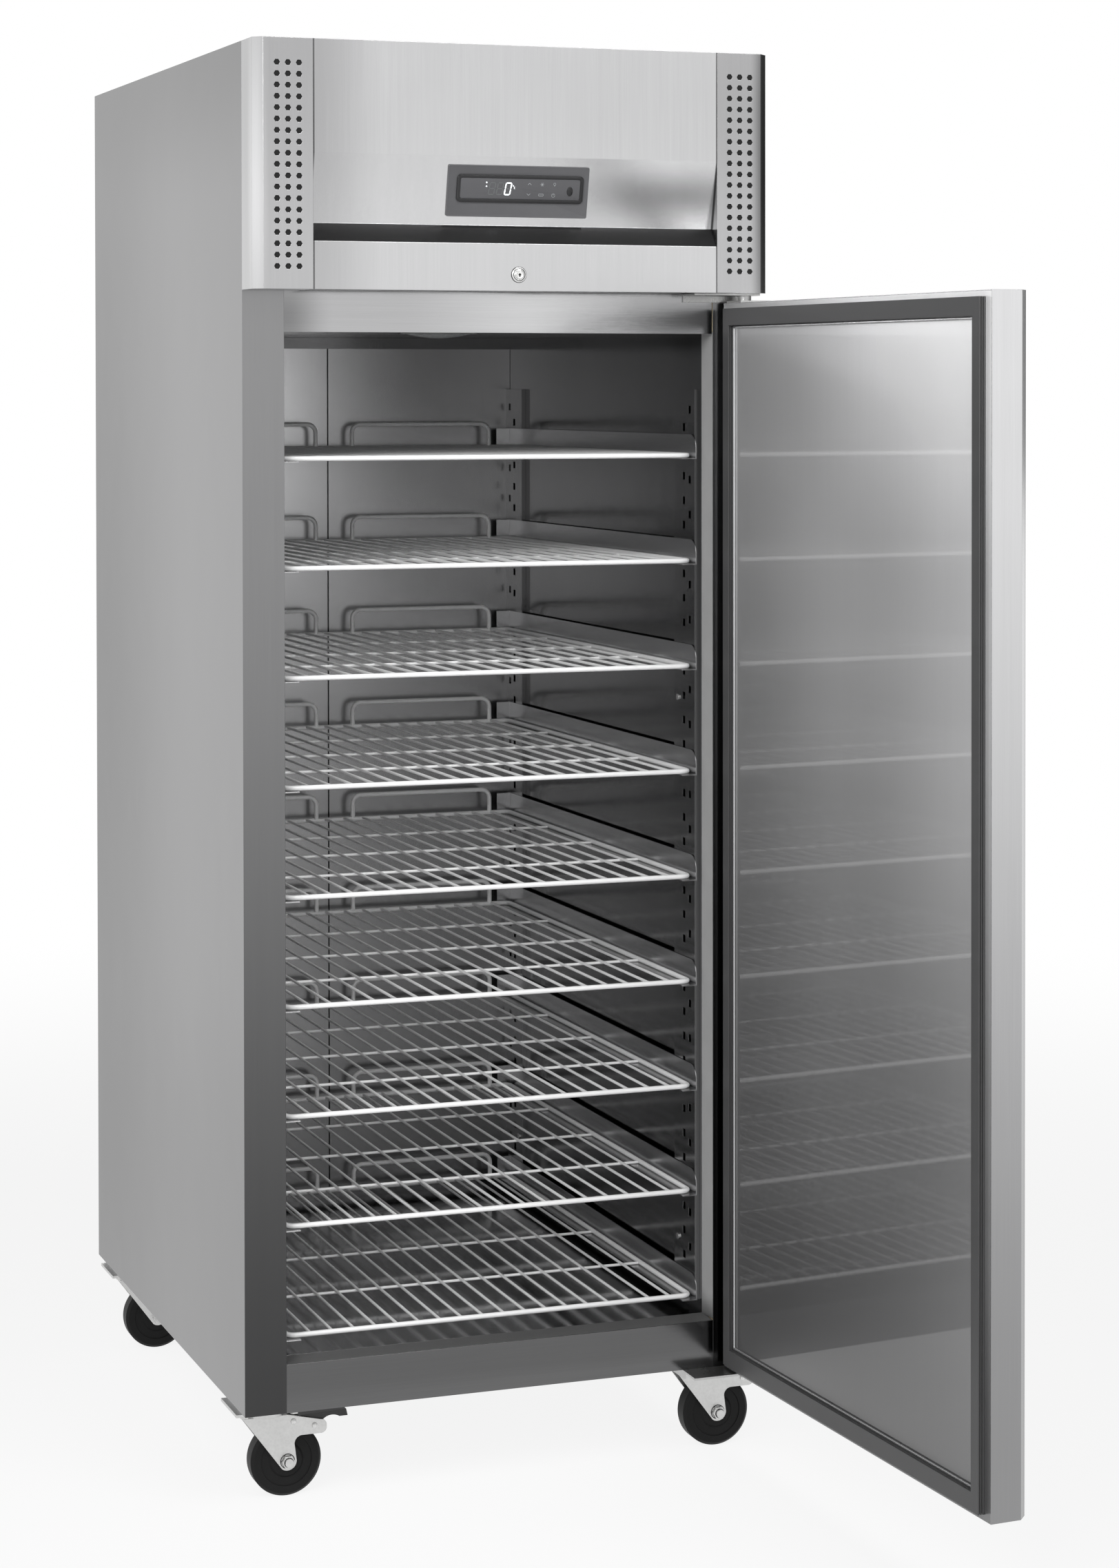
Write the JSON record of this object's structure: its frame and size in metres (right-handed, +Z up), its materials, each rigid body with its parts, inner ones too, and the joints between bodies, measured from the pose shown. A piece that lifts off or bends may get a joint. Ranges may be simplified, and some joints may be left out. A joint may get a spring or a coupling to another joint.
{
  "type": "pastry freezer",
  "caption": "Tall stainless freezer for pastry trays, with a hinged door, pull-out wire shelves, a slanted control fascia and casters.",
  "frame": {"origin": "on the floor, in the middle of the cabinet's width, midway between the front and the rear caster swivel axes", "axes": "+Z up, the front and the door opening face -Y, +X is the hinge side"},
  "size_m": [0.805, 1.672, 1.99],
  "materials": {
    "stainless_outer": "satin",
    "stainless_inner": "polished",
    "galvanised": "satin",
    "foam": "matte",
    "light_plastic": "satin",
    "black_plastic": "satin",
    "dark_grey_plastic": "satin",
    "controller_face": "gloss",
    "lamp_glass": "gloss",
    "gasket_rubber": "matte",
    "wheel_rubber": "satin",
    "zinc": "satin",
    "wire_coating": "satin",
    "chrome": "gloss",
    "copper": "satin",
    "fins": "satin",
    "black_paint": "satin",
    "filter_mat": "matte"
  },
  "bodies": {
    "cabinet": {"side_panels": "stainless_outer", "back_panel": "stainless_outer", "roof_panel": "stainless_outer", "base_pan": "galvanised", "machine_deck": "galvanised", "header_panel": "stainless_outer", "sill_panel": "stainless_outer", "breaker_strips": "light_plastic", "cabinet_foam": "foam", "liner": "stainless_inner", "duct_panels": "stainless_inner", "pilasters": "stainless_inner", "pilaster_screws": "zinc", "shelf_rails": "stainless_inner", "lamp_base": "light_plastic", "lamp_lens": "lamp_glass", "fascia_centre_panel": "stainless_outer", "fascia_end_panels": "stainless_outer", "grille_filters": "filter_mat", "controller_bezel": "dark_grey_plastic", "controller": "controller_face", "lock_housing": "chrome", "hinge_brackets": "zinc", "compressor": "black_paint", "condenser": "fins", "condenser_shroud": "galvanised", "fan_motors": "black_paint", "evaporator": "fins", "evaporator_casing": "galvanised", "electrical_box": "dark_grey_plastic", "refrigerant_lines": "copper", "cable_gland": "black_plastic", "caster_plates": "zinc"},
    "door": {"door_outer_pan": "stainless_outer", "door_liner": "stainless_inner", "door_foam": "foam", "door_gasket": "gasket_rubber", "door_hinge_plates": "zinc"},
    "lock_barrel": {"lock_barrel": "chrome"},
    "shelf_1": {"shelf_1": "wire_coating"},
    "shelf_2": {"shelf_2": "wire_coating"},
    "shelf_3": {"shelf_3": "wire_coating"},
    "shelf_4": {"shelf_4": "wire_coating"},
    "shelf_5": {"shelf_5": "wire_coating"},
    "shelf_6": {"shelf_6": "wire_coating"},
    "shelf_7": {"shelf_7": "wire_coating"},
    "shelf_8": {"shelf_8": "wire_coating"},
    "shelf_9": {"shelf_9": "wire_coating"},
    "caster_fork_front_left": {"caster_fork_front_left": "zinc"},
    "caster_wheel_front_left": {"caster_wheel_front_left": "wheel_rubber"},
    "caster_fork_front_right": {"caster_fork_front_right": "zinc"},
    "caster_wheel_front_right": {"caster_wheel_front_right": "wheel_rubber"},
    "caster_fork_rear_left": {"caster_fork_rear_left": "zinc"},
    "caster_wheel_rear_left": {"caster_wheel_rear_left": "wheel_rubber"},
    "caster_fork_rear_right": {"caster_fork_rear_right": "zinc"},
    "caster_wheel_rear_right": {"caster_wheel_rear_right": "wheel_rubber"},
    "brake_pedal_front_left": {"brake_pedal_front_left": "black_plastic"},
    "brake_pedal_front_right": {"brake_pedal_front_right": "black_plastic"},
    "condenser_fan": {"condenser_fan": "black_plastic"},
    "evaporator_fan": {"evaporator_fan": "black_plastic"}
  },
  "joints": [
    {"name": "door_hinge", "type": "hinge", "parent": "cabinet", "child": "door", "pos_m": [0.347, -0.5095, 0.8925], "axis": [0, 0, 1], "range_deg": [-93.5, 20]},
    {"name": "lock_turn", "type": "hinge", "parent": "cabinet", "child": "lock_barrel", "pos_m": [0, -0.5425, 1.679], "axis": [0, 1, 0], "range_deg": [0, 90]},
    {"name": "shelf_1_slide", "type": "slide", "parent": "cabinet", "child": "shelf_1", "axis": [0, -1, 0], "range_m": [0, 0.42]},
    {"name": "shelf_2_slide", "type": "slide", "parent": "cabinet", "child": "shelf_2", "axis": [0, -1, 0], "range_m": [0, 0.42]},
    {"name": "shelf_3_slide", "type": "slide", "parent": "cabinet", "child": "shelf_3", "axis": [0, -1, 0], "range_m": [0, 0.42]},
    {"name": "shelf_4_slide", "type": "slide", "parent": "cabinet", "child": "shelf_4", "axis": [0, -1, 0], "range_m": [0, 0.42]},
    {"name": "shelf_5_slide", "type": "slide", "parent": "cabinet", "child": "shelf_5", "axis": [0, -1, 0], "range_m": [0, 0.42]},
    {"name": "shelf_6_slide", "type": "slide", "parent": "cabinet", "child": "shelf_6", "axis": [0, -1, 0], "range_m": [0, 0.42]},
    {"name": "shelf_7_slide", "type": "slide", "parent": "cabinet", "child": "shelf_7", "axis": [0, -1, 0], "range_m": [0, 0.42]},
    {"name": "shelf_8_slide", "type": "slide", "parent": "cabinet", "child": "shelf_8", "axis": [0, -1, 0], "range_m": [0, 0.42]},
    {"name": "shelf_9_slide", "type": "slide", "parent": "cabinet", "child": "shelf_9", "axis": [0, -1, 0], "range_m": [0, 0.42]},
    {"name": "swivel_front_left", "type": "hinge", "parent": "cabinet", "child": "caster_fork_front_left", "pos_m": [-0.32, -0.3875, 0.12], "axis": [0, 0, 1], "continuous": true},
    {"name": "wheel_front_left", "type": "hinge", "parent": "caster_fork_front_left", "child": "caster_wheel_front_left", "pos_m": [-0.292, -0.3875, 0.05], "axis": [0, 1, 0], "continuous": true},
    {"name": "swivel_front_right", "type": "hinge", "parent": "cabinet", "child": "caster_fork_front_right", "pos_m": [0.32, -0.3875, 0.12], "axis": [0, 0, 1], "continuous": true},
    {"name": "wheel_front_right", "type": "hinge", "parent": "caster_fork_front_right", "child": "caster_wheel_front_right", "pos_m": [0.348, -0.3875, 0.05], "axis": [0, 1, 0], "continuous": true},
    {"name": "swivel_rear_left", "type": "hinge", "parent": "cabinet", "child": "caster_fork_rear_left", "pos_m": [-0.32, 0.3875, 0.12], "axis": [0, 0, 1], "continuous": true},
    {"name": "wheel_rear_left", "type": "hinge", "parent": "caster_fork_rear_left", "child": "caster_wheel_rear_left", "pos_m": [-0.292, 0.3875, 0.05], "axis": [0, 1, 0], "continuous": true},
    {"name": "swivel_rear_right", "type": "hinge", "parent": "cabinet", "child": "caster_fork_rear_right", "pos_m": [0.32, 0.3875, 0.12], "axis": [0, 0, 1], "continuous": true},
    {"name": "wheel_rear_right", "type": "hinge", "parent": "caster_fork_rear_right", "child": "caster_wheel_rear_right", "pos_m": [0.348, 0.3875, 0.05], "axis": [0, 1, 0], "continuous": true},
    {"name": "brake_front_left", "type": "hinge", "parent": "caster_fork_front_left", "child": "brake_pedal_front_left", "pos_m": [-0.253, -0.3875, 0.0955], "axis": [0, 1, 0], "range_deg": [0, 12]},
    {"name": "brake_front_right", "type": "hinge", "parent": "caster_fork_front_right", "child": "brake_pedal_front_right", "pos_m": [0.387, -0.3875, 0.0955], "axis": [0, 1, 0], "range_deg": [0, 12]},
    {"name": "condenser_fan_spin", "type": "hinge", "parent": "cabinet", "child": "condenser_fan", "pos_m": [-0.08, -0.3905, 1.7832], "axis": [0, 1, 0], "continuous": true},
    {"name": "evaporator_fan_spin", "type": "hinge", "parent": "cabinet", "child": "evaporator_fan", "pos_m": [0, 0.1683, 1.7572], "axis": [0, 1, 0], "continuous": true}
  ]
}
